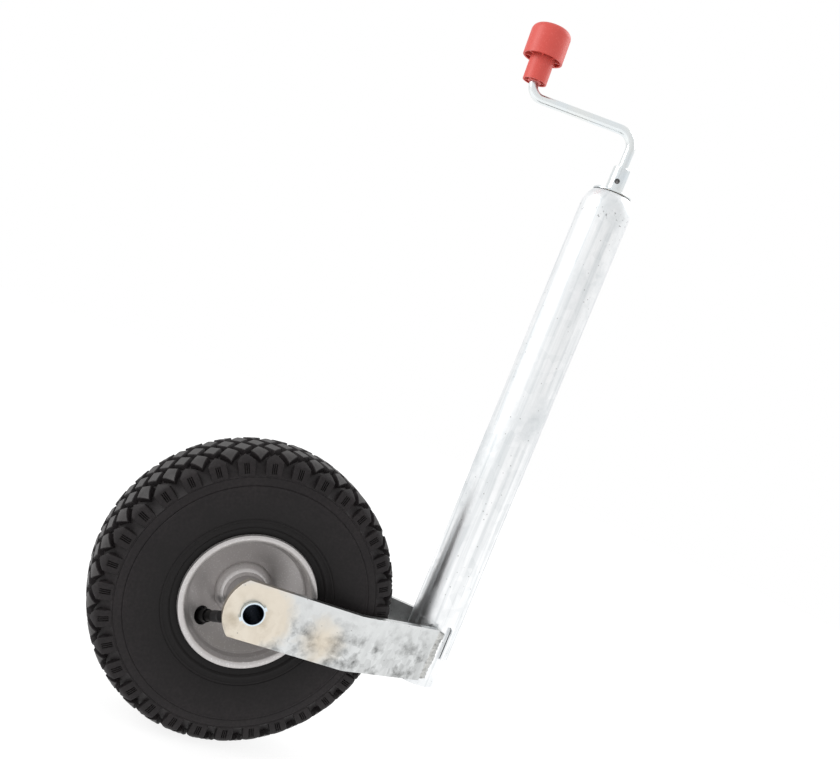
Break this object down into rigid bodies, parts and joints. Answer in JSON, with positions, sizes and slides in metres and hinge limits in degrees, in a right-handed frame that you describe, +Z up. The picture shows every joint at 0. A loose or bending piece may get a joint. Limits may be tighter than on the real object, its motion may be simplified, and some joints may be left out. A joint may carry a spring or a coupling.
{
  "type": "trailer jockey wheel",
  "caption": "Screw-type trailer jockey wheel: crank-driven telescoping steel leg with a clamp-on outer tube and a pneumatic castor wheel on a welded fork.",
  "frame": {"origin": "on the axis of the outer tube, half way along the plain stretch that the drawbar clamp grips", "axes": "+Z up along the tube towards the crank, wheel trailing towards -X, axle along Y"},
  "size_m": [0.338, 0.1281, 0.702],
  "materials": {
    "galvanised_steel": "hot-dip galvanised, satin",
    "weld_zinc": "galvanised weld bead, rough",
    "zinc_plated_steel": "bright zinc plated",
    "machined_steel": "turned, oiled",
    "bearing_steel": "ground and polished",
    "spring_steel": "blackened",
    "bronze": "plain bearing bronze",
    "brass": "turned",
    "nylon": "natural, matt",
    "red_plastic": "moulded, satin",
    "grey_plastic": "moulded, metallic grey satin",
    "black_plastic": "moulded, matt",
    "tyre_rubber": "moulded, matt",
    "butyl_rubber": "smooth, matt",
    "valve_rubber": "smooth, satin"
  },
  "bodies": {
    "column": {"outer_tube": "galvanised_steel", "bearing_housing": "machined_steel", "housing_bush": "bronze", "thrust_race_upper": "bearing_steel"},
    "crank": {"spindle": "zinc_plated_steel", "thrust_race_lower": "bearing_steel", "ball_cage": "brass", "thrust_balls": "bearing_steel", "thrust_collar": "machined_steel", "thrust_collar_pin": "spring_steel", "spindle_stop_pin": "spring_steel", "cap_disc": "zinc_plated_steel", "crank_rod": "zinc_plated_steel", "crank_pin": "spring_steel", "knob_clip": "spring_steel"},
    "knob": {"crank_knob": "red_plastic"},
    "leg": {"inner_tube": "galvanised_steel", "spindle_nut": "machined_steel", "fork_arm_right": "galvanised_steel", "fork_arm_left": "galvanised_steel", "weld_bead_right": "weld_zinc", "weld_bead_left": "weld_zinc", "axle_tube": "zinc_plated_steel", "axle_washers": "zinc_plated_steel"},
    "wheel": {"rim_right_half": "grey_plastic", "rim_left_half": "grey_plastic", "hub_bush_right": "nylon", "hub_bush_left": "nylon", "tyre": "tyre_rubber", "air_tube": "butyl_rubber", "valve_stem": "valve_rubber", "valve_core": "brass", "valve_cap": "black_plastic"}
  },
  "joints": [
    {"name": "crank_turn", "type": "hinge", "parent": "column", "child": "crank", "pos_m": [0, 0, 0.2465], "axis": [0, 0, 1], "range_deg": [-18900, 0]},
    {"name": "leg_slide", "type": "slide", "parent": "column", "child": "leg", "axis": [0, 0, -1], "range_m": [0, 0.21]},
    {"name": "knob_spin", "type": "hinge", "parent": "crank", "child": "knob", "pos_m": [-0.09437, 0.04603, 0.279], "axis": [-0.0392, 0.0191, 0.999], "continuous": true},
    {"name": "wheel_spin", "type": "hinge", "parent": "leg", "child": "wheel", "pos_m": [-0.184, 0, -0.2275], "axis": [0, -1, 0], "continuous": true}
  ],
  "couplings": [
    {"joint": "leg_slide", "follows": "crank_turn", "m_per_rad": -0.00063662}
  ]
}
